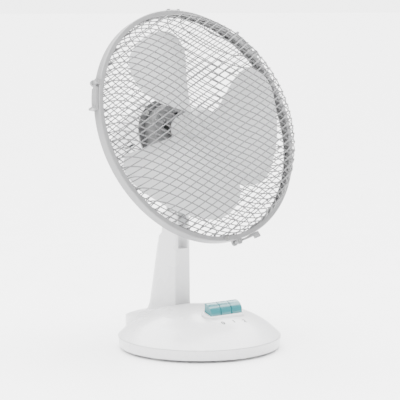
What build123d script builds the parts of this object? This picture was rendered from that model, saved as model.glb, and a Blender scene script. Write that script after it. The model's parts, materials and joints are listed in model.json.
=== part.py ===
from build123d import *
import math
import os

# Desk fan with a tilting and swivelling head, mesh guards and three speed keys.
# Millimetres, +Z up, the fan blows towards -Y. The origin is on the table, under
# the middle of the round base.

os.makedirs("parts", exist_ok=True)

# ---- shared clearances ----
seam = 0.6              # shadow gap between two mouldings
gap = 0.3               # between pieces of different bodies
seat = 0.2              # loose seat of one piece in another
running = 0.05          # radial clearance of a shaft in its bush

# ---- base ----
base_radius = 91.5
foot_height = 3.0
foot_radius = 8.0
foot_circle = 76.0
foot_count = 5
skirt_height = 10.8
skirt_draft = 1.5
dome_rim = 13.8
dome_apex = 46.2
base_wall = 2.4
plinth_radius = 57.0
plinth_back = 50.0
plinth_slope = 9.0
deck_sink = 0.5
ballast_inner = 40.0
ballast_outer = 78.0
ballast_height = 5.0
base_screw_circle = 83.5
base_screw_radius = 1.7
base_screw_first = 20.0
gland_radius = 3.9
gland_bore = 2.2
gland_length = 13.0

# ---- keys ----
key_count = 3
key_pitch = 14.6
key_gap = 0.8
key_length = 13.0
key_height = 18.0
key_slope_drop = 11.0
key_middle_x = 5.0
key_middle_y = -38.0
bezel_wall = 5.0
bezel_middle_z = 44.8
bezel_lean = 17.0
switch_height = 13.0

# ---- pillar ----
pillar_wall = 2.4
pillar_front_y = 32.0
pillar_front_half = 10.5
pillar_foot_back_y = 73.0
pillar_foot_back_half = 27.0
pillar_top_back_y = 60.0
pillar_top_back_half = 14.5
pillar_top_front_half = 9.6
pillar_foot_z = 33.0
pillar_top_z = 150.0
pillar_flare = 8.0
pillar_back_cut_z = 121.0
pillar_back_cut_y = 52.5
cover_step = 5.5
fork_floor_z = 107.0
fork_width = 13.0
fork_wall = 2.0

# ---- neck and swivel ----
pivot_y = 43.0
pivot_z = 138.0
tilt_rest = 21.4
pan_rest = 4.0
pin_radius = 3.0
hub_radius = 9.0
neck_width = fork_width - 2 * gap
stud_radius = 5.0
bush_wall = 1.8
swivel_radius = 12.0
neck_shoulder = 24.0
neck_rise = 36.0
stud_to_ring = 70.3     # the swivel's axis stands this far behind the guard ring
pivot_to_axis = 90.6    # the fan's axis is this far above the tilt pin

# ---- motor ----
motor_radius = 45.0
motor_wall = 2.4
motor_front = -46.0
motor_back = -124.0
face_radius = 39.0
face_front = -31.0
face_hole_circle = 21.0
face_hole_radius = 4.6
stator_radius = 36.0
stator_front = -60.0
stator_length = 22.0
stator_bore = 19.0
rotor_air_gap = 0.5
shaft_radius = 4.0
shaft_front = 9.0
shaft_back = -113.0
bolt_circle = 33.0
bolt_radius = 1.9
plate_thickness = 2.4
plate_gap = 9.0
bush_radius = 7.5
knob_radius = 7.5
knob_height = 13.0
rod_radius = 2.4

# ---- gear train ----
tail_radius = 3.0       # the shaft's rear end, which carries the worm
worm_root = 3.5
worm_outer = 4.8
worm_pitch = 2.4
worm_middle = -103.0
worm_length = 12.0
wheel_teeth = 24
wheel_width = 5.0
spindle_radius = 2.0
crank_radius = 8.0
crank_throw = 5.0
crank_top = -46.2
link_thickness = 2.2
link_reach = 15.0

# ---- fan blade ----
blade_count = 3
blade_radius = 114.0
blade_first = -3.0
blade_span = 88.0
blade_camber = 6.0
blade_forward = 4.0
blade_thickness = 1.8
blade_hub_radius = 19.0
blade_hub_front = 16.0
blade_hub_back = -24.0
blade_hub_wall = 2.4

# ---- guards ----
ring_radius = 135.0
ring_depth = 11.0
ring_wall = 1.7
ring_band = 5.6
hoop_wire = 1.5
mesh_wire = 1.2
mesh_end_gap = 0.3
eye_band = 5.0
clip_first = 38.0
clip_reach = 13.0
clip_pin_radius = 1.2
clip_count = 3
clip_width = 8.0


def revolved(points):
    """A solid of revolution about Z from a closed (radius, height) outline."""
    return revolve(make_face(Plane.XZ * Polyline(*points, close=True)), Axis.Z)


def tube(outer, inner, low, high):
    ring = Circle(outer) - Circle(inner)
    return Pos(0, 0, low) * extrude(ring, high - low)


def rod(radius, low, high):
    return Pos(0, 0, low) * extrude(Circle(radius), high - low)


def block(width, depth, low, high):
    return Pos(0, 0, low) * extrude(Rectangle(width, depth), high - low)


def rounded_block(width, depth, corner, low, high):
    return Pos(0, 0, low) * extrude(RectangleRounded(width, depth, corner), high - low)


def across(shape):
    """Lay a shape made along Z along X."""
    return Rot(0, 90, 0) * shape


def polar(radius, angle):
    turn = math.radians(angle)
    return Pos(radius * math.cos(turn), radius * math.sin(turn), 0)


def around(shape, count, radius, start=0.0):
    """Copies of a shape on a circle about Z."""
    step = 360.0 / count
    return [polar(radius, start + i * step) * shape for i in range(count)]


def turned(shape, count, start=0.0):
    step = 360.0 / count
    return [Rot(0, 0, start + i * step) * shape for i in range(count)]


# ---- frames ----
neck_frame = Pos(0, pivot_y, pivot_z) * Rot(-tilt_rest, 0, 0) * Rot(90, 0, 0)
head_frame = neck_frame * Rot(0, pan_rest, 0) * Pos(0, pivot_to_axis, stud_to_ring)


def save(name, shapes, frame=None):
    solids = []
    for shape in shapes:
        solids.extend(shape.solids())
    if frame is not None:
        solids = [frame * solid for solid in solids]
    export_step(Compound(children=solids) if len(solids) > 1 else solids[0], f"parts/{name}.step")


# ---- base ----
skirt_top = foot_height + skirt_height
cover_low = skirt_top + seam


def dome_line(inset):
    """The bowl's line from its flat crown, over its shoulder, to its rim."""
    shares = [(0, 1), (0.28, 0.945), (0.557, 0.79), (0.834, 0.407), (1, 0)]
    drop = dome_apex - dome_rim
    line = offset_line([(base_radius * a, dome_rim + drop * b) for a, b in shares], -inset)
    return [(0, line[0][1])] + line[1:]


def dome_body(inset):
    """The swept bowl of the base, with the raised deck round the pillar's foot."""
    radius = base_radius - inset
    line = dome_line(inset)
    edge, rim_z = line[-1]
    crown, shoulder = ThreePointArc(*line[:3]), ThreePointArc(*line[2:])
    sides = Polyline((edge, rim_z), (edge, -1), (0, -1), line[0])
    bowl = revolve(make_face(Plane.XZ * Curve([crown, shoulder, sides])), Axis.Z)
    deck_z = dome_apex - deck_sink - inset
    drop = (radius - 4) * math.tan(math.radians(plinth_slope))
    deck = revolved([(0, -3), (radius - 4, -3), (radius - 4, deck_z - drop), (0, deck_z)])
    deck = Rot(0, 0, 37) * deck     # its seam stays clear of the bowl's
    deck &= Pos(0, plinth_back, 0) * rod(plinth_radius - inset, -5, dome_apex + 10)
    return bowl + deck


def base_cover():
    body = dome_body(0) - dome_body(base_wall) - block(400, 400, -50, cover_low)
    body -= key_place * block(key_row + 2, key_length + 2, 20, dome_apex + 9)
    foot_y = (pillar_front_y + pillar_foot_back_y) / 2
    body -= Pos(0, foot_y, 0) * block(pillar_front_half, 16, 20, dome_apex + 9)
    bosses = around(rod(4, cover_low, cover_low + 2.0), 3, base_screw_circle, base_screw_first)
    holes = around(rod(base_screw_radius, 0, cover_low + 1.0), 3, base_screw_circle, base_screw_first)
    for boss in bosses:
        body += boss & dome_body(0)
    for hole in holes:
        body -= hole
    return body


def base_plate():
    top = skirt_top
    foot = base_radius - skirt_draft
    inner = base_radius - base_wall
    lip = base_radius - 1.1
    floor = foot_height + base_wall
    plate = revolved([
        (0, foot_height), (foot, foot_height), (base_radius, top), (lip, top),
        (lip, cover_low), (inner, cover_low), (inner - 1, floor), (0, floor),
    ])
    for boss in around(rod(4, floor, cover_low - seat), 3, base_screw_circle, base_screw_first):
        plate += boss & rod(inner - 0.5, 0, cover_low)
    bore = rod(base_screw_radius + seat, 0, cover_low + 1)
    for hole in around(bore, 3, base_screw_circle, base_screw_first):
        plate -= hole
    for well in around(rod(foot_radius * 0.6 + seat, 0, foot_height + 1.2), foot_count, foot_circle, 270):
        plate -= well
    plate -= rod(foot_radius * 0.6 + seat, 0, foot_height + 1.2)
    plate -= gland_place() * rod(gland_radius - 1.2 + seat, -20, 20)
    return plate


def gland_place():
    return Pos(0, base_radius, foot_height + skirt_height / 2 + 1.0) * Rot(-90, 0, 0)


def rubber_foot():
    pad = rod(foot_radius, 0, foot_height)
    pad = chamfer(pad.edges().group_by(Axis.Z)[0], 0.6)
    return pad + rod(foot_radius * 0.6, 0, foot_height + 1.0)


def base_screw():
    low = foot_height
    return rod(base_screw_radius, low, cover_low) + rod(base_screw_radius * 1.6, low - 1.5, low)


def cord_gland():
    neck_radius = gland_radius - 1.2
    body = rod(gland_radius, 0.3, gland_length - 6) + rod(neck_radius, -6, 0.3)
    body += rod(gland_radius, -6, -base_wall - 1.2)
    return body - rod(gland_bore, -20, 20)


# ---- keys ----
key_row = key_count * key_pitch
key_low = bezel_middle_z - 7.4
key_place = Pos(key_middle_x, key_middle_y, 0)
key_width = key_pitch - key_gap


def bezel():
    """White surround: a raised island with a cheek at each end of the key row."""
    long = key_row + 2 * bezel_wall
    wide = key_length + 2 * bezel_wall - 2
    island = rounded_block(long, wide, wide / 2 - 0.5, -30, 0)
    island = fillet(island.edges().group_by(Axis.Z)[-1], 2.4)
    island = key_place * Pos(0, 0, bezel_middle_z) * Rot(bezel_lean, 0, 0) * island
    island -= dome_body(-0.05)
    island -= block(300, 300, -60, dome_rim)
    island -= key_place * block(key_row + 2 * gap, key_length + 2 * gap, 0, 90)
    return island


def key_cap(index):
    """A curved piano key: a high back and a front that falls away."""
    half = key_length / 2
    top = key_low + key_height
    profile = make_face(Plane.YZ * Curve([
        Polyline((-half, top - key_slope_drop), (-half, key_low), (half, key_low), (half, top)),
        Line((half, top), (half - 3, top)),
        ThreePointArc((half - 3, top), (-half / 2, top - key_slope_drop / 3), (-half, top - key_slope_drop)),
    ]))
    cap = extrude(profile, key_width / 2, both=True)
    cap &= rounded_block(key_width, key_length, 1.2, 0, 90)
    stem_low = key_low - 9.0
    cap += block(5, 4, stem_low, key_low + 1)
    x = (index - (key_count - 1) / 2) * key_pitch
    return key_place * Pos(x, 0, 0) * cap


switch_top = key_low - 9.0 + 5.0


def switch_body():
    low = switch_top - switch_height
    body = block(key_row - 2, key_length + 1, low, switch_top)
    for i in range(key_count):
        x = (i - (key_count - 1) / 2) * key_pitch
        body -= Pos(x, 0, 0) * block(5 + 2 * gap, 4 + 2 * gap, switch_top - 10, switch_top + 1)
    return key_place * body


def switch_terminals():
    low = switch_top - switch_height
    tag = block(3.0, 0.8, low - 5, low)
    return [key_place * Pos((i - 1.5) * 7, 0, 0) * tag for i in range(4)]


def switch_posts():
    """Two moulded posts carry the switch on the floor of the base."""
    low = foot_height + base_wall
    side = key_row / 2 - 5
    foot = block(6, 8, low, switch_top - switch_height)
    return [key_place * Pos(x, 3, 0) * foot for x in (-side, side)]


def ballast():
    low = foot_height + base_wall
    ring = tube(ballast_outer, ballast_inner, low, low + ballast_height)
    ring -= key_place * Pos(0, 3, 0) * block(key_row + 4, key_length + 8, 0, 40)
    return ring


def capacitor():
    low = foot_height + base_wall
    return Pos(0, 12, 0) * rounded_block(30, 13, 2, low, low + 18)


# ---- pillar ----
def pillar_face(z, flare, inset):
    """One level of the column: narrow and flat in front, broad and rounded behind."""
    share = (z - pillar_foot_z) / (pillar_top_z - pillar_foot_z)
    front = pillar_front_half + (pillar_top_front_half - pillar_front_half) * share + flare - inset
    back = pillar_foot_back_half + (pillar_top_back_half - pillar_foot_back_half) * share
    back += flare * 0.5 - inset
    near = pillar_front_y - flare + inset
    far = pillar_foot_back_y + (pillar_top_back_y - pillar_foot_back_y) * share - inset
    face = make_face(Polyline((-front, near), (front, near), (back, far), (-back, far), close=True))
    face = fillet(face.vertices().group_by(Axis.Y)[0], 2.6 - inset * 0.6)
    face = fillet(face.vertices().group_by(Axis.Y)[-1], 8.0 - inset)
    return Pos(0, 0, z) * face


def pillar_solid(inset, flared):
    """Tapered column that flares in a hollow curve where it meets the base."""
    levels = []
    steps = 5 if flared else 1
    for i in range(steps):
        turn = math.radians(90.0 * i / steps)
        rise = pillar_flare * 1.6 * (1 - math.cos(turn)) if flared else 0.0
        flare = pillar_flare * (1 - math.sin(turn)) if flared else 0.0
        levels.append(pillar_face(pillar_foot_z + rise, flare, inset))
    for z in (pillar_foot_z + pillar_flare * 1.6, pillar_top_z):
        levels.append(pillar_face(z, 0.0, inset))
    return loft(levels if flared else levels[:1] + levels[-1:], ruled=True)


def side_slab(points, half):
    """A slab with the given (y, z) outline, centred on the middle plane."""
    return extrude(make_face(Plane.YZ * Polyline(*points, close=True)), half, both=True)


def pillar_outline():
    """Side view of the column: the back of its top is cut down to let the motor tip."""
    return side_slab([
        (0, 0), (0, pillar_top_z), (pillar_back_cut_y - 6, pillar_top_z),
        (pillar_back_cut_y, pillar_top_z - 7), (pillar_back_cut_y, pillar_back_cut_z + 4),
        (pillar_back_cut_y + 4, pillar_back_cut_z), (120, pillar_back_cut_z - 6), (120, 0),
    ], 60)


def pillar_back_zone(shift):
    """Everything behind a plane that leans with the back of the column."""
    low = pillar_foot_back_y - cover_step + shift
    high = pillar_top_back_y - cover_step + shift
    return side_slab([
        (low, pillar_foot_z), (high, pillar_top_z), (200, pillar_top_z), (200, pillar_foot_z),
    ], 60)


def fork_slot():
    return Pos(0, 50, 0) * block(fork_width, 120, fork_floor_z, pillar_top_z + 10)


def fork_liner(inside):
    """Inner cheeks and floor of the slot that the neck moves in."""
    liner = Pos(0, 50, 0) * block(fork_width + 2 * fork_wall, 120, fork_floor_z - fork_wall, 200)
    return inside & liner & pillar_outline()


def pin_bore(radius):
    return Pos(0, pivot_y, pivot_z) * across(rod(radius, -40, 40))


def column_shells():
    outside = pillar_solid(0, True)
    inside = pillar_solid(pillar_wall, False)
    wall = (outside - inside) & pillar_outline()
    wall -= dome_body(-0.02)
    bosses = pin_bore(hub_radius - 2) & inside & pillar_outline()
    front = wall - pillar_back_zone(0) + (fork_liner(inside) - pillar_back_zone(-pillar_wall)) + bosses
    front = front - fork_slot() - pin_bore(pin_radius + seat / 2)
    back = (wall & pillar_back_zone(gap)) - fork_slot()
    back -= Pos(0, 0, pillar_back_cut_z - 9) * block(400, 400, 0, 100)
    for screw in cover_screws():
        back -= screw
    return front, back


def cover_screws():
    """Two screws that hold the column's rear cover."""
    screws = []
    for z in (62.0, 96.0):
        share = (z - pillar_foot_z) / (pillar_top_z - pillar_foot_z)
        far = pillar_foot_back_y + (pillar_top_back_y - pillar_foot_back_y) * share
        place = Pos(0, far - pillar_wall - 0.05, z) * Rot(90, 0, 0)
        screws.append(place * rod(1.6, -pillar_wall, 9))
    return screws


# ---- neck ----
def tilt_bracket():
    """Grey neck: an eye on the tilt pin, an arm, and the housing of the swivel."""
    eye = across(rod(hub_radius, -neck_width / 2, neck_width / 2))
    arm = Pos(0, neck_shoulder / 2, 0) * Box(neck_width, neck_shoulder, 13)
    up = Rot(-90, 0, 0)
    housing = up * rod(swivel_radius, neck_shoulder - 2, neck_rise)
    housing = fillet(housing.edges().group_by(Axis.Y)[0], 1.5)
    lug_z = -link_reach * 0.75
    lug = Pos(6.5, neck_rise - 2, lug_z / 2 - 2) * Box(11, 4, 14)
    body = eye + arm + housing + lug
    body -= across(rod(pin_radius + running, -40, 40))
    body -= up * rod(stud_radius + bush_wall, neck_shoulder - 6, neck_rise + 1)
    return body




def swivel_bush():
    tubes = tube(stud_radius + bush_wall, stud_radius + running, neck_shoulder - 6, neck_rise)
    return Rot(-90, 0, 0) * tubes


def swivel_stud():
    """Steel stud under the motor, turning in the neck's bush."""
    low = neck_shoulder - 5
    top = pivot_to_axis - motor_radius + 5
    return Rot(-90, 0, 0) * rod(stud_radius, low, top)


def tilt_pin():
    reach = pillar_top_back_half - 3.2
    pin = rod(pin_radius, -reach, reach)
    return Pos(0, pivot_y, pivot_z) * across(pin)


# ---- motor ----
def motor_shell():
    """White rear casing: a deep cup with vents, a stud boss below and a knob hole above."""
    joint = motor_front - 4.0
    r, w, b = motor_radius, motor_wall, motor_back
    outer = revolved([
        (0, b), (r - 22, b), (r - 9, b + 5), (r - 1.5, b + 18), (r, b + 30), (r, joint), (0, joint),
    ])
    w_in = r - w
    cup = outer - revolved([
        (0, b + w), (r - 22, b + w), (r - 9 - w, b + 5 + w), (w_in - 1.5, b + 18), (w_in, b + 30),
        (w_in, joint + 1), (0, joint + 1),
    ])
    boss_low = -(pivot_to_axis - neck_rise) + gap
    boss = Pos(0, 0, -stud_to_ring) * Rot(90, 0, 0) * rod(swivel_radius, 38, -boss_low)
    cup += boss - revolved([(0, b + w), (w_in, b + w), (w_in, joint + 1), (0, joint + 1)])
    cup -= Pos(0, 0, -stud_to_ring) * Rot(90, 0, 0) * rod(stud_radius + seat / 4, 30, 80)
    for vent in turned(Pos(0, 17, b) * RectangleRounded(4, 15, 1.9), 10):
        cup -= extrude(vent, 12)
    for vent in turned(Pos(0, r, -70) * Rot(90, 0, 0) * RectangleRounded(3, 20, 1.4), 7, 40):
        cup -= extrude(vent, 8, both=True)
    cup -= Pos(wheel_x, 0, worm_middle) * Rot(-90, 0, 0) * rod(rod_radius + seat, 20, 60)
    cup -= Pos(wheel_x, 0, worm_middle) * Rot(90, 0, 0) * rod(spindle_radius + seat, 20, 60)
    return cup


def motor_face():
    """Grey front casing with a bearing eye and a ring of vent holes."""
    joint = motor_front - 4.0
    w = 2.0
    f = face_front
    face = revolved([
        (9, f), (face_radius - 3, f), (face_radius, f - 3), (face_radius, motor_front - 1.8),
        (motor_radius, motor_front - 1.8), (motor_radius, joint + seat / 2),
        (face_radius - w, joint + seat / 2), (face_radius - w, f - w - 1),
        (face_radius - w - 2, f - w), (9, f - w),
    ])
    for hole in around(rod(face_hole_radius, f - 10, f + 10), 6, face_hole_circle, 30):
        face -= hole
    face += tube(14, 12, f - w, f + 1.2)
    return face


def guard_eye():
    """Steel ring round the hole of the rear guard, screwed to the motor's flange."""
    low = motor_front - 1.8
    ring = tube(face_radius + 1 + eye_band + 2, face_radius + 0.6, low, low + 2)
    for hole in around(rod(1.6, low - 9, low + 9), 4, 43, 45):
        ring -= hole
    return ring


def eye_screws():
    low = motor_front - 1.8
    head = rod(2.6, low + 2, low + 3.6)
    head -= Pos(0, 0, low + 4) * Box(0.8, 6, 1.6)
    return around(head, 4, 43, 45)


def stator():
    back = stator_front - stator_length
    core = rod(stator_radius, back, stator_front)
    core -= rod(stator_bore, back - 1, stator_front + 1)
    slot = Pos(0, (stator_bore + 30) / 2, back - 1) * extrude(RectangleRounded(5, 9, 1.5), stator_length + 2)
    for cut in turned(slot, 8):
        core -= cut
    for bolt in around(rod(bolt_radius + seat, back - 1, stator_front + 1), 4, bolt_circle, 45):
        core -= bolt
    return core


def coils():
    """Two wound rings, one on each end of the laminations."""
    thick = 5.5
    back = stator_front - stator_length
    front_ring = tube(29.5, 20.5, stator_front, stator_front + thick)
    front_ring = fillet(front_ring.edges().group_by(Axis.Z)[-1], 2)
    back_ring = tube(29.5, 20.5, back - thick, back)
    back_ring = fillet(back_ring.edges().group_by(Axis.Z)[0], 2)
    return [front_ring, back_ring]


def bearing_plates():
    front = stator_front + plate_gap
    back = stator_front - stator_length - plate_gap
    plates = []
    for low in (front - plate_thickness, back):
        plate = rod(stator_radius, low, low + plate_thickness) - rod(bush_radius, low - 1, low + 9)
        for hole in around(rod(bolt_radius + seat, low - 1, low + 9), 4, bolt_circle, 45):
            plate -= hole
        for window in around(rod(6.5, low - 1, low + 9), 6, 20, 0):
            plate -= window
        plates.append(plate)
    return plates


def bushes():
    front = stator_front + plate_gap
    back = stator_front - stator_length - plate_gap
    front_bush = tube(bush_radius, shaft_radius + running, front - 5, front + 2.5)
    back_bush = tube(bush_radius, shaft_radius + running, back - 0.5, back + 6)
    return [front_bush, back_bush]


def motor_bolts():
    front = stator_front + plate_gap
    back = stator_front - stator_length - plate_gap
    bolt = rod(bolt_radius, back - 3, front + 0.02) + rod(bolt_radius * 1.8, front + 0.02, front + 2)
    return around(bolt, 4, bolt_circle, 45)


def spacers():
    front = stator_front + plate_gap
    back = stator_front - stator_length
    sleeve = tube(bolt_radius + 1.2, bolt_radius + seat, 0, plate_gap - plate_thickness)
    fore = around(Pos(0, 0, stator_front) * sleeve, 4, bolt_circle, 45)
    aft = around(Pos(0, 0, back - plate_gap + plate_thickness) * sleeve, 4, bolt_circle, 45)
    return fore + aft


def rotor():
    back = stator_front - stator_length
    body = tube(stator_bore - rotor_air_gap, shaft_radius, back, stator_front)
    body += tube(stator_bore - 2, stator_bore - 7, back - 3, stator_front + 3)
    return body


def shaft():
    tail = stator_front - stator_length - plate_gap - 3
    return rod(shaft_radius, tail, shaft_front) + rod(tail_radius, shaft_back, tail)


def gearbox():
    """Open frame behind the motor that carries the wheel's spindle."""
    low = worm_middle - 9.5
    high = stator_front - stator_length - plate_gap
    frame = Pos(wheel_x / 2, 0, 0) * block(44, 26, low, high)
    frame -= Pos(wheel_x / 2, 0, 0) * block(40, 18, low - 1, high - 2.2)
    frame -= rod(bush_radius + seat, low - 5, high + 5)
    frame -= Pos(wheel_x, 0, worm_middle) * Rot(-90, 0, 0) * rod(spindle_radius + running, -20, 20)
    return frame


# ---- gear train ----
worm_pitch_radius = (worm_root + worm_outer) / 2
wheel_pitch_radius = wheel_teeth * worm_pitch / (2 * math.pi)
wheel_x = worm_pitch_radius + wheel_pitch_radius


def worm():
    """Worm sleeve on the tail of the shaft."""
    low = worm_middle - worm_length / 2
    return tube(worm_root, tail_radius, low, low + worm_length)


def worm_wheel():
    """Plastic wheel on the upright spindle, with its crank below the motor."""
    tip = wheel_pitch_radius + 0.5
    root = wheel_pitch_radius - 0.8
    step = 2 * math.pi / wheel_teeth
    foot, crest = 0.45 / root, 0.3 / tip
    outline = []
    for i in range(wheel_teeth):
        middle = (i + 0.5) * step
        for radius, turn in ((root, -foot), (tip, -crest), (tip, crest), (root, foot)):
            outline.append((radius * math.cos(middle + turn), radius * math.sin(middle + turn)))
    disc = extrude(make_face(Polyline(*outline, close=True)), wheel_width / 2, both=True)
    return disc - rod(spindle_radius, -9, 9)


def spindle():
    return rod(spindle_radius, crank_top, 11)


def crank():
    low = crank_top - 2.6
    disc = rod(crank_radius, low, crank_top) - rod(spindle_radius, crank_top - 1.0, crank_top + 1)
    return disc + Pos(0, -crank_throw, 0) * rod(1.8, low - link_thickness - gap, low)


def link_arm():
    """Flat link from the crank pin towards the neck."""
    high = crank_top - 2.6 - gap / 2
    low = high - link_thickness
    flat = SlotCenterToCenter(link_reach, 8)
    place = Pos(0, -crank_throw, low) * Rot(0, 0, -90) * Pos(link_reach / 2, 0, 0)
    arm = place * extrude(flat, link_thickness)
    arm -= Pos(0, -crank_throw, 0) * rod(1.8 + running, low - 5, high + 5)
    arm -= Pos(0, -crank_throw - link_reach, 0) * rod(2.4, low - 5, high + 5)
    return arm


wheel_frame = head_frame * Pos(wheel_x, 0, worm_middle) * Rot(-90, 0, 0)


def swing_knob():
    base = motor_radius - 1.5
    knob = rod(knob_radius, base + 4, base + 4 + knob_height)
    knob = fillet(knob.edges().group_by(Axis.Z)[-1], 2.0)
    for groove in turned(Pos(knob_radius + 0.4, 0, 0) * rod(1.1, base, base + 40), 12):
        knob -= groove
    return knob


def knob_rod():
    base = motor_radius - 1.5
    return rod(rod_radius, 14, base + 4)


# ---- fan blade ----
def hub():
    r, w = blade_hub_radius, blade_hub_wall
    f, b = blade_hub_front, blade_hub_back
    cup = revolved([(0, f), (r - 6, f), (r - 1.5, f - 3), (r, f - 8), (r, b), (r - w, b), (r - w, f - 8),
                    (r - w - 3, f - w - 1), (0, f - w - 1)])
    cup += rod(8, b + 6, f - w)
    for rib in turned(Pos(r / 2, 0, 0) * block(r - w, 1.6, b + 8, f - w), 6):
        cup += rib
    cup -= rod(shaft_radius + seat / 4, -60, shaft_front + seat / 4)
    cup -= rod(3.6, shaft_front, f + 5)
    return cup


def blade_sheet():
    """Twisted skin of one blade, larger than its outline."""
    rows = []
    for i in range(7):
        radius = blade_hub_radius - 5 + (blade_radius + 6 - blade_hub_radius + 5) * i / 6
        share = (radius - blade_hub_radius) / (blade_radius - blade_hub_radius)
        slope = 19.0 + 13.0 * math.sin(math.pi * min(max(share, 0), 1) * 0.62)
        row = []
        for j in range(9):
            turn = math.radians(blade_span * 0.62 * (j / 4 - 1))
            lift = slope * turn - blade_camber * turn * turn + blade_forward
            row.append((radius * math.cos(turn), radius * math.sin(turn), lift))
        rows.append(row)
    return Face.make_surface_from_array_of_points([[Vector(*p) for p in row] for row in rows])


def blade_outline():
    """Plan view: a straight rear edge, a full round tip and a bulging front edge."""
    half = blade_span / 2
    r0, r1 = blade_hub_radius - 1.2, blade_radius

    def at(radius, angle):
        return (radius * math.cos(math.radians(angle)), radius * math.sin(math.radians(angle)))

    edge = Curve([
        Line(at(r0, -half + 6), at(r1 * 0.82, -half + 2)),
        Spline(at(r1 * 0.82, -half + 2), at(r1 * 0.96, -half + 10), at(r1, -half + 26)),
        ThreePointArc(at(r1, -half + 26), at(r1, -half + 42), at(r1, half - 28)),
        Spline(at(r1, half - 28), at(r1 * 0.95, half - 12), at(r1 * 0.82, half - 2),
               at(r1 * 0.62, half + 3), at(r1 * 0.4, half + 1), at(r0, half - 8)),
        Line(at(r0, half - 8), at(r0, -half + 6)),
    ])
    return make_face(edge)


def fan_blade():
    skin = blade_sheet()
    body = thicken(skin, blade_thickness)
    wing = body & (Pos(0, 0, -80) * extrude(blade_outline(), 160))
    whole = hub()
    for copy in turned(wing, blade_count, blade_first):
        whole += copy
    whole -= rod(shaft_radius + seat / 4, -60, shaft_front + seat / 4)
    return whole


def blade_nut():
    cap = rod(8.5, blade_hub_front, blade_hub_front + 3.5)
    cap = fillet(cap.edges().group_by(Axis.Z)[-1], 1.5)
    return cap + rod(3.4, shaft_front + seat, blade_hub_front)


# ---- guards ----
hoop_radius = ring_radius - ring_wall - seat - hoop_wire
mesh_edge = hoop_radius - hoop_wire - mesh_end_gap


def front_line():
    r = mesh_edge
    return [(r, 1.2), (r - 1.1, 2.2), (r - 1.8, 4.0), (r - 2.1, 8.0), (r - 3.6, 15.0), (r - 8.6, 24.5),
            (r - 18, 32.0), (r - 33, 36.0), (r - 55, 37.5), (58, 37.0), (45, 34.2), (30, 32.6),
            (15, 32.1), (0, 32.0)]


def rear_line():
    r = mesh_edge
    inner = face_radius + 1 + eye_band + 2.6
    return [(r, -1.2), (r - 1.1, -2.2), (r - 1.8, -4.0), (r - 2.7, -9.0), (r - 5.6, -16.0), (r - 12.6, -23.5),
            (r - 26, -31.0), (r - 44, -36.8), (r - 63, -41.2), (inner, motor_front + 1.0)]


def offset_line(points, amount):
    """A line of (across, height) points moved sideways by an amount."""
    moved = []
    for i, (x, z) in enumerate(points):
        a = points[max(i - 1, 0)]
        b = points[min(i + 1, len(points) - 1)]
        size = math.hypot(b[0] - a[0], b[1] - a[1])
        moved.append((x - (b[1] - a[1]) / size * amount, z + (b[0] - a[0]) / size * amount))
    return moved


def guard_skin(line):
    """The domed wire face of a guard, as a skin as thick as one wire."""
    upper = [(max(r, 0.0), z) for r, z in offset_line(line, mesh_wire / 2)]
    lower = [(max(r, 0.0), z) for r, z in offset_line(line, -mesh_wire / 2)]
    if line[-1][0] == 0:
        upper[-1] = (0.0, upper[-1][1])
        lower[-1] = (0.0, lower[-1][1])
    face = make_face(Plane.XZ * Curve([
        Spline(*upper), Line(upper[-1], lower[-1]), Spline(*lower), Line(lower[0], upper[0]),
    ]))
    return revolve(face, Axis.Z)


def hoop(height):
    return [Pos(0, 0, height) * Torus(hoop_radius, hoop_wire)]


def guard_ring():
    """Grey clamp ring of U section that closes the two guards together."""
    r, half, w = ring_radius, ring_depth / 2, ring_wall
    inner = r - ring_band
    ring = revolved([
        (inner, -half), (r - 0.8, -half), (r, -half + 0.8), (r, half - 0.8), (r - 0.8, half), (inner, half),
        (inner, half - w), (r - w, half - w), (r - w, -half + w), (inner, -half + w),
    ])
    tab = Pos(0, r - 0.6, 0) * Box(17, 4.4, ring_depth - 2)
    tab -= Pos(0, r + 1.2, 0) * Box(11, 1.2, ring_depth)
    ring += tab - rod(r - w, -20, 20)
    screw_boss = polar(r - 3, 270) * rod(3.4, half - w, half + 1.0)
    ring += screw_boss
    ring -= polar(r - 3, 270) * rod(1.5, half - w - 1, half + 5)
    for place in clip_places():
        ear = rod(3.6, -half, half) + Pos(-3, 0, 0) * block(4, 7.2, -half, half)
        ear -= rod(4.6, -clip_width / 2 + 1.0, clip_width / 2 - 1.0)
        ear -= rod(clip_pin_radius, -20, 20)
        ring += place * ear - rod(r - w, -20, 20)
    return ring


def clip_places():
    places = []
    for i in range(clip_count):
        angle = clip_first + i * 360.0 / clip_count
        places.append(Rot(0, 0, angle) * Pos(ring_radius + 2.2, 0, 0))
    return places


def clip_lever():
    """Latch strap that lies along the ring and ends in a finger lip."""
    half = clip_width / 2 - 1.0 - gap
    strap_half = ring_depth / 2 - 1
    r = ring_radius + 2.2
    low, high = r - 1.6, r + 0.9
    strap = tube(high, low, -strap_half, strap_half)
    reach = math.radians(clip_reach)
    wedge = Polyline((0, 0), (r * 2 * math.cos(0.03), r * 2 * math.sin(0.03)),
                     (r * 2 * math.cos(reach), r * 2 * math.sin(reach)), close=True)
    strap &= Pos(0, 0, -20) * extrude(make_face(wedge), 40)
    lip = Rot(0, 0, clip_reach) * Pos(r + 1.8, 0, 0) * Box(6.4, 2.4, 2 * strap_half)
    lever = Pos(-r, 0, 0) * (strap + lip)
    lever -= rod(6.8, half, 20) + rod(6.8, -20, -half)
    knuckle = rod(clip_pin_radius + 0.75, -half, half) + Pos(-0.35, 3.2, 0) * Box(2.3, 5, 2 * half)
    lever += knuckle
    return lever - rod(clip_pin_radius + running, -20, 20)


def clip_pin():
    half = ring_depth / 2
    return rod(clip_pin_radius, -half + 0.2, half - 0.2)


def ring_screw():
    half = ring_depth / 2
    place = polar(ring_radius - 3, 270)
    head = rod(2.4, half + 1.0, half + 2.4) - Pos(0, 0, half + 2.6) * Box(0.7, 6, 1.4)
    return place * (head + rod(1.5, half - ring_wall, half + 1.0))


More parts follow.
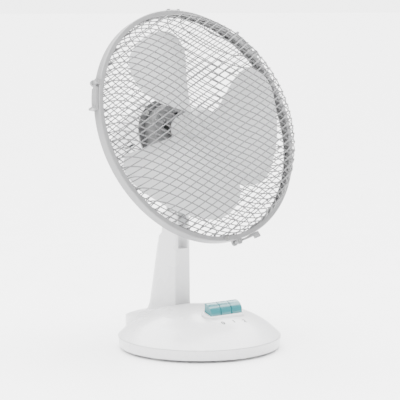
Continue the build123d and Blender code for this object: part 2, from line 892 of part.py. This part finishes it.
# ---- write every piece ----
save("base_cover", [base_cover()])
save("base_plate", [base_plate()])
feet = around(rubber_foot(), foot_count, foot_circle, 270) + [rubber_foot()]
save("rubber_feet", feet)
save("base_screws", around(base_screw(), 3, base_screw_circle, base_screw_first))
save("cord_gland", [gland_place() * cord_gland()])
save("ballast", [ballast()])
save("capacitor", [capacitor()])
save("key_bezel", [bezel()])
for index, name in enumerate(("key_off", "key_low", "key_high")):
    save(name, [key_cap(index)])
save("switch_body", [switch_body()])
save("switch_terminals", switch_terminals())
save("switch_posts", switch_posts())

pillar_front, pillar_back = column_shells()
save("pillar_shell", [pillar_front])
save("pillar_cover", [pillar_back])
save("pillar_screws", cover_screws())
save("tilt_pin", [tilt_pin()])

save("tilt_bracket", [tilt_bracket()], neck_frame)
save("swivel_bush", [swivel_bush()], neck_frame)
save("swivel_stud", [swivel_stud()], neck_frame)

save("motor_shell", [motor_shell()], head_frame)
save("motor_face", [motor_face()], head_frame)
save("stator_core", [stator()], head_frame)
save("stator_coils", coils(), head_frame)
save("bearing_plates", bearing_plates(), head_frame)
save("shaft_bushes", bushes(), head_frame)
save("motor_bolts", motor_bolts(), head_frame)
save("bolt_spacers", spacers(), head_frame)
save("gearbox", [gearbox()], head_frame)
save("rotor", [rotor()], head_frame)
save("shaft", [shaft()], head_frame)
save("worm", [worm()], head_frame)
save("fan_blade", [fan_blade()], head_frame)
save("blade_nut", [blade_nut()], head_frame)

save("worm_wheel", [worm_wheel()], wheel_frame)
save("wheel_spindle", [spindle()], wheel_frame)
save("crank", [crank()], wheel_frame)
save("link_arm", [link_arm()], wheel_frame)
save("swing_knob", [swing_knob()], wheel_frame)
save("knob_rod", [knob_rod()], wheel_frame)

save("rear_eye", [guard_eye()], head_frame)
save("eye_screws", eye_screws(), head_frame)
save("rear_mesh", [guard_skin(rear_line())], head_frame)
save("front_mesh", [guard_skin(front_line())], head_frame)
save("front_hoop", hoop(hoop_wire + 0.4), head_frame)
save("rear_hoop", hoop(-hoop_wire - 0.4), head_frame)
save("guard_ring", [guard_ring()], head_frame)
save("ring_screw", [ring_screw()], head_frame)
for index, place in enumerate(clip_places()):
    save(f"guard_clip_{index + 1}", [place * clip_lever()], head_frame)
save("clip_pins", [place * clip_pin() for place in clip_places()], head_frame)
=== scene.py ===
import json
import math

import bpy
import numpy as np
from mathutils import Matrix, Vector
from mathutils.bvhtree import BVHTree


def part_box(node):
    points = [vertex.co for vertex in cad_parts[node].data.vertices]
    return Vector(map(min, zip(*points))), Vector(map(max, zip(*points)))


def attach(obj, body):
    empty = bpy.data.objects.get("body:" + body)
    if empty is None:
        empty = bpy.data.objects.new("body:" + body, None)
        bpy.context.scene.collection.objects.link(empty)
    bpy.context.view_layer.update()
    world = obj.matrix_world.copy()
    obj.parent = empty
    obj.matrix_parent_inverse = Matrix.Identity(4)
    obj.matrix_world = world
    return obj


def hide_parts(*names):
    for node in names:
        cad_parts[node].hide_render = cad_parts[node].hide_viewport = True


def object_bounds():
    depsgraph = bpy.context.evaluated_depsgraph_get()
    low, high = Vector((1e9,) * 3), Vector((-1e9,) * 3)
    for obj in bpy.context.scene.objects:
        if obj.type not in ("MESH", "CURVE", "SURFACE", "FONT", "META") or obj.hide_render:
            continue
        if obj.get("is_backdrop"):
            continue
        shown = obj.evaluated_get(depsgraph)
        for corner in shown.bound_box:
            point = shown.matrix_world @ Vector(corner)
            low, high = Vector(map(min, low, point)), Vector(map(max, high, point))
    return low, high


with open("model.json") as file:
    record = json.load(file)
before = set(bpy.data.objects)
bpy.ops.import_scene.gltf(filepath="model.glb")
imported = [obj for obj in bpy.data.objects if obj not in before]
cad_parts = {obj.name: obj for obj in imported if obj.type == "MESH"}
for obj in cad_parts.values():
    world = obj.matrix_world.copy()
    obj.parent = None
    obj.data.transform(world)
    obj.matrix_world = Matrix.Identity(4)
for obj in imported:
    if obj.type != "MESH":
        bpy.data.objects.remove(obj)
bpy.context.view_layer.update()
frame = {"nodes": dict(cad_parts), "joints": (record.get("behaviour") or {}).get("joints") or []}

# ---- base plate ----
# The floor of the base is a white ABS tray with a rim that the cover drops onto. It comes
# from the mould with a fine satin grain.
patch_detail = 3
grain_detail = 2
noise_low = 0.3
noise_high = 0.7


def surface_grain():
    """Node group: two tones, a roughness and a height that wander over the surface."""
    group = bpy.data.node_groups.new("surface_grain", "ShaderNodeTree")
    ports = group.interface
    ports.new_socket("Light Tone", in_out="INPUT", socket_type="NodeSocketColor")
    ports.new_socket("Dark Tone", in_out="INPUT", socket_type="NodeSocketColor")
    ports.new_socket("Patch Scale", in_out="INPUT", socket_type="NodeSocketFloat")
    ports.new_socket("Grain Scale", in_out="INPUT", socket_type="NodeSocketFloat")
    ports.new_socket("Smoothest", in_out="INPUT", socket_type="NodeSocketFloat")
    ports.new_socket("Roughest", in_out="INPUT", socket_type="NodeSocketFloat")
    ports.new_socket("Color", in_out="OUTPUT", socket_type="NodeSocketColor")
    ports.new_socket("Roughness", in_out="OUTPUT", socket_type="NodeSocketFloat")
    ports.new_socket("Height", in_out="OUTPUT", socket_type="NodeSocketFloat")
    nodes, links = group.nodes, group.links
    given, made = nodes.new("NodeGroupInput"), nodes.new("NodeGroupOutput")
    where = nodes.new("ShaderNodeTexCoord")
    patch, grain = nodes.new("ShaderNodeTexNoise"), nodes.new("ShaderNodeTexNoise")
    patch.inputs["Detail"].default_value = patch_detail
    grain.inputs["Detail"].default_value = grain_detail
    tone, rough = nodes.new("ShaderNodeMix"), nodes.new("ShaderNodeMapRange")
    tone.data_type = "RGBA"
    rough.inputs["From Min"].default_value = noise_low
    rough.inputs["From Max"].default_value = noise_high
    for noise, scale in ((patch, "Patch Scale"), (grain, "Grain Scale")):
        links.new(where.outputs["Object"], noise.inputs["Vector"])
        links.new(given.outputs[scale], noise.inputs["Scale"])
    links.new(patch.outputs["Fac"], tone.inputs["Factor"])
    links.new(given.outputs["Light Tone"], tone.inputs["A"])
    links.new(given.outputs["Dark Tone"], tone.inputs["B"])
    links.new(patch.outputs["Fac"], rough.inputs["Value"])
    links.new(given.outputs["Smoothest"], rough.inputs["To Min"])
    links.new(given.outputs["Roughest"], rough.inputs["To Max"])
    links.new(tone.outputs["Result"], made.inputs["Color"])
    links.new(rough.outputs["Result"], made.inputs["Roughness"])
    links.new(grain.outputs["Fac"], made.inputs["Height"])
    return group


grain_group = surface_grain()


def finish(name, light, dark, smoothest, roughest,
           patch=18, grain=2500, depth=0.00002, metallic=0.0, coat=0.0):
    """A material whose tone, gloss and relief all come from the surface grain group."""
    made = bpy.data.materials.new(name)
    made.use_nodes = True
    nodes, links = made.node_tree.nodes, made.node_tree.links
    shader = nodes["Principled BSDF"]
    shader.inputs["Metallic"].default_value = metallic
    shader.inputs["Coat Weight"].default_value = coat
    surface = nodes.new("ShaderNodeGroup")
    surface.node_tree = grain_group
    settings = (("Light Tone", (*light, 1)), ("Dark Tone", (*dark, 1)), ("Patch Scale", patch),
                ("Grain Scale", grain), ("Smoothest", smoothest), ("Roughest", roughest))
    for socket, value in settings:
        surface.inputs[socket].default_value = value
    relief = nodes.new("ShaderNodeBump")
    relief.inputs["Distance"].default_value = depth
    links.new(surface.outputs["Color"], shader.inputs["Base Color"])
    links.new(surface.outputs["Roughness"], shader.inputs["Roughness"])
    links.new(surface.outputs["Height"], relief.inputs["Height"])
    links.new(relief.outputs["Normal"], shader.inputs["Normal"])
    return made


def dress(material, *names):
    """Give the pieces that are made to the part's own sizes their finish."""
    for name in names:
        shell = frame["nodes"][name].data
        shell.materials.clear()
        shell.materials.append(material)


white_plastic = finish("white_plastic", light=(0.66, 0.66, 0.665), dark=(0.62, 0.62, 0.63),
                       smoothest=0.24, roughest=0.34, coat=0.15)
dress(white_plastic, "base_plate")

# ---- feet and base screws ----
# Six soft grey rubber pads, five round the rim and one in the middle, plug into wells in
# the tray. Three zinc-plated screws just inside the rim hold tray and cover together.
soft_rubber = finish("soft_rubber", light=(0.62, 0.62, 0.61), dark=(0.52, 0.52, 0.52),
                     smoothest=0.7, roughest=0.85, depth=0.00006)
dress(soft_rubber, "rubber_feet")
zinc_plate = finish("zinc_plate", light=(0.63, 0.63, 0.62), dark=(0.48, 0.48, 0.47),
                    smoothest=0.25, roughest=0.42, patch=220, metallic=1.0)
dress(zinc_plate, "base_screws")

# ---- lead gland, ballast and capacitor ----
# A grey moulded gland guards the hole at the back. Inside lie a cast iron weight, painted
# with black primer, and the motor's capacitor in its black resin case.
grey_plastic = finish("grey_plastic", light=(0.34, 0.345, 0.35), dark=(0.29, 0.295, 0.3),
                      smoothest=0.42, roughest=0.55, depth=0.00005)
dress(grey_plastic, "cord_gland")
primed_iron = finish("primed_iron", light=(0.06, 0.06, 0.06), dark=(0.025, 0.025, 0.025),
                     smoothest=0.55, roughest=0.8, patch=60, grain=900, depth=0.0003)
dress(primed_iron, "ballast")
black_resin = finish("black_resin", light=(0.03, 0.03, 0.032), dark=(0.018, 0.018, 0.02),
                     smoothest=0.35, roughest=0.5)
dress(black_resin, "capacitor")

# ---- base cover ----
# The bowl-shaped cover is one glossy white ABS moulding, with the raised deck for the
# pillar at its back. The key surround is a second moulding in the same white.
dress(white_plastic, "base_cover", "key_bezel")

# ---- speed numbers ----
# The figures 0, 1 and 2 are pad-printed in dark grey ink in front of the keys, each
# lying on the slope of the cover.
print_height = 0.0056
print_bold = 0.00022
print_lift = 0.00006
print_forward = 0.0195
letter_body = 1.35      # a letter's full body over the height of its figure
print_ink = finish("print_ink", light=(0.02, 0.02, 0.022), dark=(0.012, 0.012, 0.014),
                   smoothest=0.5, roughest=0.6)
cover = frame["nodes"]["base_cover"].data
cover_surface = BVHTree.FromPolygons([v.co for v in cover.vertices], [p.vertices for p in cover.polygons])
for figure, key in (("0", "key_off"), ("1", "key_low"), ("2", "key_high")):
    low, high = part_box(key)
    above = Vector(((low.x + high.x) / 2, (low.y + high.y) / 2 - print_forward, high.z))
    spot, normal, _, _ = cover_surface.ray_cast(above, Vector((0, 0, -1)))
    outline = bpy.data.curves.new("figure_" + figure, "FONT")
    outline.body = figure
    outline.size = print_height * letter_body
    outline.extrude = print_lift / 2
    outline.offset = print_bold
    outline.align_x = "CENTER"
    outline.align_y = "CENTER"
    ink = bpy.data.objects.new("print_" + figure, outline)
    bpy.context.scene.collection.objects.link(ink)
    across = Vector((1, 0, -normal.x / normal.z)).normalized()
    turn = Matrix((across, normal.cross(across), normal)).transposed()
    ink.matrix_world = Matrix.Translation(spot + normal * print_lift) @ turn.to_4x4()
    bpy.context.view_layer.update()
    flat = bpy.data.meshes.new_from_object(ink.evaluated_get(bpy.context.evaluated_depsgraph_get()))
    flat.transform(ink.matrix_world)
    bpy.data.objects.remove(ink)
    ink = bpy.data.objects.new("print_" + figure, flat)
    bpy.context.scene.collection.objects.link(ink)
    flat.materials.append(print_ink)
    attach(ink, "base")

# ---- switch and keys ----
# Three teal ABS keys sit on a black piano switch with brass tags, on two grey posts. The
# keys are polished in the mould, so their front slopes shine.
teal_plastic = finish("teal_plastic", light=(0.02, 0.17, 0.19), dark=(0.014, 0.135, 0.155),
                      smoothest=0.2, roughest=0.3, coat=0.25)
dress(teal_plastic, "key_off", "key_low", "key_high")
dress(black_resin, "switch_body")
tag_brass = finish("tag_brass", light=(0.72, 0.5, 0.2), dark=(0.58, 0.39, 0.14),
                   smoothest=0.3, roughest=0.45, patch=150, metallic=1.0)
dress(tag_brass, "switch_terminals")
dress(grey_plastic, "switch_posts")

# ---- pillar ----
# The tapering column is a white ABS shell, closed at the back by a cover with two
# plated screws. A steel pin through its fork carries the neck.
dress(white_plastic, "pillar_shell", "pillar_cover")
dress(zinc_plate, "pillar_screws", "tilt_pin")

# ---- neck ----
# The tilting neck is moulded in grey nylon, with a bronze bush in which the steel
# swivel stud of the motor turns.
dress(grey_plastic, "tilt_bracket")
sintered_bronze = finish("sintered_bronze", light=(0.52, 0.38, 0.17), dark=(0.38, 0.27, 0.12),
                         smoothest=0.4, roughest=0.6, patch=300, metallic=1.0)
dress(sintered_bronze, "swivel_bush")
turned_steel = finish("turned_steel", light=(0.6, 0.6, 0.6), dark=(0.45, 0.45, 0.46),
                      smoothest=0.18, roughest=0.32, patch=180, metallic=1.0)
dress(turned_steel, "swivel_stud")

# ---- motor casing ----
# A white ABS cup with vents covers the motor from behind, and a grey moulding with a
# ring of six holes closes its front.
dress(white_plastic, "motor_shell")
face_grey = finish("face_grey", light=(0.17, 0.17, 0.172), dark=(0.14, 0.14, 0.142),
                   smoothest=0.4, roughest=0.55, depth=0.00005)
dress(face_grey, "motor_face")

# ---- stator and rotor ----
# Stacked electrical steel with a ring of enamelled copper wire on each end. Sheets and
# wires show as fine lines. Two plated steel plates with long bolts carry the bushes.
half_layer = 0.5
groove_share = 0.2      # of a layer, on each side of its edge
groove_depth = 0.25     # of a layer


def fine_layers():
    """Node group: thin even layers across one direction, as a mask and a height."""
    group = bpy.data.node_groups.new("fine_layers", "ShaderNodeTree")
    ports = group.interface
    ports.new_socket("Across", in_out="INPUT", socket_type="NodeSocketVector")
    ports.new_socket("Layer", in_out="INPUT", socket_type="NodeSocketFloat")
    ports.new_socket("Mask", in_out="OUTPUT", socket_type="NodeSocketFloat")
    ports.new_socket("Height", in_out="OUTPUT", socket_type="NodeSocketFloat")
    nodes, links = group.nodes, group.links
    given, made = nodes.new("NodeGroupInput"), nodes.new("NodeGroupOutput")
    where = nodes.new("ShaderNodeTexCoord")
    along, count, wave = (nodes.new("ShaderNodeVectorMath"), nodes.new("ShaderNodeMath"),
                          nodes.new("ShaderNodeMath"))
    along.operation = "DOT_PRODUCT"
    count.operation = "DIVIDE"
    wave.operation = "PINGPONG"
    wave.inputs[1].default_value = half_layer
    mask = nodes.new("ShaderNodeMapRange")
    mask.inputs["From Max"].default_value = groove_share
    links.new(where.outputs["Object"], along.inputs[0])
    links.new(given.outputs["Across"], along.inputs[1])
    links.new(along.outputs["Value"], count.inputs[0])
    links.new(given.outputs["Layer"], count.inputs[1])
    links.new(count.outputs[0], wave.inputs[0])
    links.new(wave.outputs[0], mask.inputs["Value"])
    links.new(mask.outputs["Result"], made.inputs["Mask"])
    links.new(wave.outputs[0], made.inputs["Height"])
    return group


layer_group = fine_layers()


def layered(name, face, groove, layer, roughness, metallic, across):
    """A material of thin layers, such as stacked sheet or wound wire."""
    made = bpy.data.materials.new(name)
    made.use_nodes = True
    nodes, links = made.node_tree.nodes, made.node_tree.links
    shader = nodes["Principled BSDF"]
    shader.inputs["Metallic"].default_value = metallic
    shader.inputs["Roughness"].default_value = roughness
    sheets = nodes.new("ShaderNodeGroup")
    sheets.node_tree = layer_group
    sheets.inputs["Across"].default_value = across
    sheets.inputs["Layer"].default_value = layer
    tone, relief = nodes.new("ShaderNodeMix"), nodes.new("ShaderNodeBump")
    tone.data_type = "RGBA"
    tone.inputs["A"].default_value = (*groove, 1)
    tone.inputs["B"].default_value = (*face, 1)
    relief.inputs["Distance"].default_value = layer * groove_depth
    links.new(sheets.outputs["Mask"], tone.inputs["Factor"])
    links.new(tone.outputs["Result"], shader.inputs["Base Color"])
    links.new(sheets.outputs["Height"], relief.inputs["Height"])
    links.new(relief.outputs["Normal"], shader.inputs["Normal"])
    return made


joint = {j["name"]: j for j in frame["joints"]}
fan_axis = Vector(joint["blade_spin"]["axis"])
swivel_axis = Vector(joint["head_swivel"]["axis"])
side_axis = swivel_axis.cross(fan_axis)
sheet_steel = layered("sheet_steel", face=(0.3, 0.3, 0.31), groove=(0.1, 0.1, 0.1), layer=0.0005,
                      roughness=0.45, metallic=1.0, across=fan_axis)
dress(sheet_steel, "stator_core", "rotor")
copper_wire = layered("copper_wire", face=(0.45, 0.14, 0.05), groove=(0.16, 0.05, 0.02), layer=0.0006,
                      roughness=0.35, metallic=0.6, across=swivel_axis)
dress(copper_wire, "stator_coils")
dress(sintered_bronze, "shaft_bushes")
dress(zinc_plate, "bearing_plates", "motor_bolts", "bolt_spacers")

# ---- shaft and swing gear ----
# A ground steel shaft runs through the motor to a worm. Its nylon wheel turns a spindle,
# whose crank under the casing carries the grey link arm.
dress(turned_steel, "shaft", "worm", "wheel_spindle", "knob_rod")
white_nylon = finish("white_nylon", light=(0.8, 0.79, 0.75), dark=(0.74, 0.73, 0.69),
                     smoothest=0.4, roughest=0.5)
dress(white_nylon, "worm_wheel", "gearbox")
dress(grey_plastic, "crank", "link_arm")

# ---- swing knob ----
# The fluted white ABS knob stands on the end of the clutch rod, above the motor. It is
# pulled up to stop the swing.
dress(white_plastic, "swing_knob")

# ---- fan blades ----
# Hub and blades are one piece of milky polypropylene, slid on to the shaft and held by a
# cap of the same plastic. The grain is fine and the shine is soft.
milky_plastic = finish("milky_plastic", light=(0.52, 0.525, 0.53), dark=(0.48, 0.485, 0.49),
                       smoothest=0.3, roughest=0.42, patch=9)
dress(milky_plastic, "fan_blade", "blade_nut")

# ---- guard wires ----
# Each guard is a dome of steel wires in two crossing families, 1.4 mm thick with their
# paint. They are pressed to shape, welded to the rim hoop and dipped in white paint.
ring_middle = Vector(joint["blade_spin"]["pos_m"])
head_frame = Matrix((side_axis, swivel_axis, fan_axis)).transposed()
wire_radius = 0.00068
wire_pitch = 0.0077
wire_slope = math.radians(27.5)
wire_sides = 6
crossing_step = wire_radius * 1.5
outermost_wire = 0.985  # of the rim's radius
same_spot = 1e-5
end_on = 0.05           # a wire that runs along the fan's axis has no outward side
curve_steps = 6
# Painted shade: the wires, hoops and eye get a dark grey instead of the white of their paint. It stands
# in for the shaded side of wires lit from behind.
white_wire = finish("white_wire", light=(0.12, 0.12, 0.122), dark=(0.1, 0.1, 0.102),
                    smoothest=0.3, roughest=0.42, patch=60, coat=0.1)
dress(white_wire, "front_hoop", "rear_hoop", "rear_eye")
dress(zinc_plate, "eye_screws")


def dome_line(points):
    """A smooth line through (radius, height) points in millimetres, from the rim inwards."""
    p = np.array(points, float) / 1000
    p = np.vstack([2 * p[0] - p[1], p, 2 * p[-1] - p[-2]])
    line = []
    for a, b, c, d in zip(p, p[1:], p[2:], p[3:]):
        for t in np.linspace(0, 1, curve_steps, endpoint=False):
            line.append(0.5 * (2 * b + (c - a) * t + (2 * a - 5 * b + 4 * c - d) * t ** 2
                               + (3 * b - a - 3 * c + d) * t ** 3))
    line.append(p[-2])
    return np.array(line)


def wire_paths(line, slope, lift):
    """The wires of one family, as lists of points in the head's own frame."""
    along = np.array((math.cos(slope), math.sin(slope)))
    beside = np.array((-along[1], along[0]))
    rim, hole = line[:, 0].max(), line[:, 0].min()
    paths = []
    for i in range(-int(rim / wire_pitch), int(rim / wire_pitch) + 1):
        offset = (i + 0.5) * wire_pitch
        if abs(offset) > rim * outermost_wire:
            continue
        near = max(abs(offset), hole)
        half = [(r, z) for r, z in line if r > near + same_spot]
        half.append((near, np.interp(near, line[::-1, 0], line[::-1, 1])))
        arm = [(math.sqrt(max(r * r - offset * offset, 0)), z + lift) for r, z in half]
        left = [(*(-t * along + offset * beside), z) for t, z in arm]
        right = [(*(t * along + offset * beside), z) for t, z in arm[::-1]]
        if abs(offset) < hole:
            paths += [left, right]
        else:
            paths.append(left[:-1] + right)
    return paths


def wire_piece(name, paths):
    """One mesh of painted round wires along the paths, fixed to the head."""
    corners, faces = [], []
    for path in paths:
        points = [ring_middle + head_frame @ Vector(p) for p in path]
        start = len(corners)
        for i, point in enumerate(points):
            ahead = (points[min(i + 1, len(points) - 1)] - points[max(i - 1, 0)]).normalized()
            out = fan_axis - ahead * fan_axis.dot(ahead)
            out = out.normalized() if out.length > end_on else swivel_axis.cross(ahead).normalized()
            side = ahead.cross(out)
            for k in range(wire_sides):
                a = 2 * math.pi * k / wire_sides
                corners.append(point + (out * math.cos(a) + side * math.sin(a)) * wire_radius)
        for i in range(len(points) - 1):
            for k in range(wire_sides):
                a, b = start + i * wire_sides + k, start + i * wire_sides + (k + 1) % wire_sides
                faces.append((a, b, b + wire_sides, a + wire_sides))
        faces.append(tuple(range(start, start + wire_sides))[::-1])
        last = start + (len(points) - 1) * wire_sides
        faces.append(tuple(range(last, last + wire_sides)))
    mesh = bpy.data.meshes.new(name)
    mesh.from_pydata(corners, [], faces)
    mesh.shade_smooth()
    mesh.materials.append(white_wire)
    piece = bpy.data.objects.new(name, mesh)
    bpy.context.scene.collection.objects.link(piece)
    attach(piece, "head")
    return piece


rear_dome = dome_line([
    (129.8, -1.2), (128, -4), (127.1, -9), (124.2, -16), (117.2, -23.5), (103.8, -31), (85.8, -36.8),
    (66.8, -41.2), (47.6, -45),
])
rear_wires = wire_piece("rear_wires", wire_paths(rear_dome, wire_slope, 0)
                        + wire_paths(rear_dome, -wire_slope, crossing_step))
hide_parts("rear_mesh")

# ---- front guard ----
# The front dome is made like the rear one, but its wires run right across. It bulges at
# the rim and dips a little round the middle.
front_dome = dome_line([
    (129.8, 1.2), (128, 4), (127.7, 8), (126.2, 15), (121.2, 24.5), (111.8, 32), (96.8, 36), (74.8, 37.5),
    (58, 37), (45, 34.2), (30, 32.6), (15, 32.1), (0, 32),
])
front_wires = wire_piece("front_wires", wire_paths(front_dome, wire_slope, 0)
                         + wire_paths(front_dome, -wire_slope, -crossing_step))
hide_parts("front_mesh")

# ---- clamp ring and clips ----
# A light grey plastic ring of U section grips both hoops. One plated screw closes it
# below, and three latches on steel pins hold it round the side.
# Painted shade: the ring and its clips get a darker grey than their light grey plastic. It stands in for
# the shade on their side away from the light.
ring_plastic_painted_shade = finish("ring_plastic_painted_shade", light=(0.22, 0.22, 0.223), dark=(0.19, 0.19, 0.193),
                      smoothest=0.35, roughest=0.48)
dress(ring_plastic_painted_shade, "guard_ring", "guard_clip_1", "guard_clip_2", "guard_clip_3")
dress(zinc_plate, "ring_screw", "clip_pins")

# ---- floor, light and camera ----
# The fan stands on a seamless pale sheet under one broad overhead light, with a weaker
# one from the left. The room behind is plain and bright.
floor_half = 60.0
room_glow = 0.9
backdrop_glow = 4.6
camera_place = (-1.046, -1.440, 0.381)
camera_rise = 83.1
camera_turn = -36
focal_length = 145
sensor_width = 36
sideways_shift = 0.001
pale_sheet = finish("pale_sheet", light=(0.95, 0.95, 0.95), dark=(0.94, 0.94, 0.94),
                    smoothest=0.3, roughest=0.34, depth=0)
sheet = bpy.data.meshes.new("floor")
sheet.from_pydata(
    [(-floor_half, -floor_half, 0), (floor_half, -floor_half, 0), (floor_half, floor_half, 0),
     (-floor_half, floor_half, 0)], [], [(0, 1, 2, 3)])
sheet.materials.append(pale_sheet)
floor = bpy.data.objects.new("floor", sheet)
bpy.context.scene.collection.objects.link(floor)
floor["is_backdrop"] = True

world = bpy.data.worlds.new("studio")
world.use_nodes = True
nodes, links = world.node_tree.nodes, world.node_tree.links
room, backdrop = nodes["Background"], nodes.new("ShaderNodeBackground")
room.inputs["Color"].default_value = (1, 1, 1, 1)
room.inputs["Strength"].default_value = room_glow
backdrop.inputs["Strength"].default_value = backdrop_glow
backdrop.inputs["Color"].default_value = (1, 1, 1, 1)
seen, choose = nodes.new("ShaderNodeLightPath"), nodes.new("ShaderNodeMixShader")
links.new(seen.outputs["Is Camera Ray"], choose.inputs["Fac"])
links.new(room.outputs["Background"], choose.inputs[1])
links.new(backdrop.outputs["Background"], choose.inputs[2])
links.new(choose.outputs["Shader"], nodes["World Output"].inputs["Surface"])
bpy.context.scene.world = world

for name, lean, turn, spread, power in (("overhead", 14, 150, 90, 21.0), ("side", 62, -70, 60, 2.0)):
    sky = bpy.data.lights.new(name, "SUN")
    sky.angle = math.radians(spread)
    sky.energy = power
    lamp = bpy.data.objects.new(name, sky)
    lamp.rotation_euler = (math.radians(lean), 0, math.radians(turn))
    bpy.context.scene.collection.objects.link(lamp)
    lamp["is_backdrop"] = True

lens = bpy.data.cameras.new("camera")
lens.lens = focal_length
lens.sensor_width = sensor_width
lens.shift_x = sideways_shift
camera = bpy.data.objects.new("camera", lens)
camera.location = camera_place
camera.rotation_euler = (math.radians(camera_rise), 0, math.radians(camera_turn))
bpy.context.scene.collection.objects.link(camera)
bpy.context.scene.camera = camera

bpy.context.view_layer.update()
low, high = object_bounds()
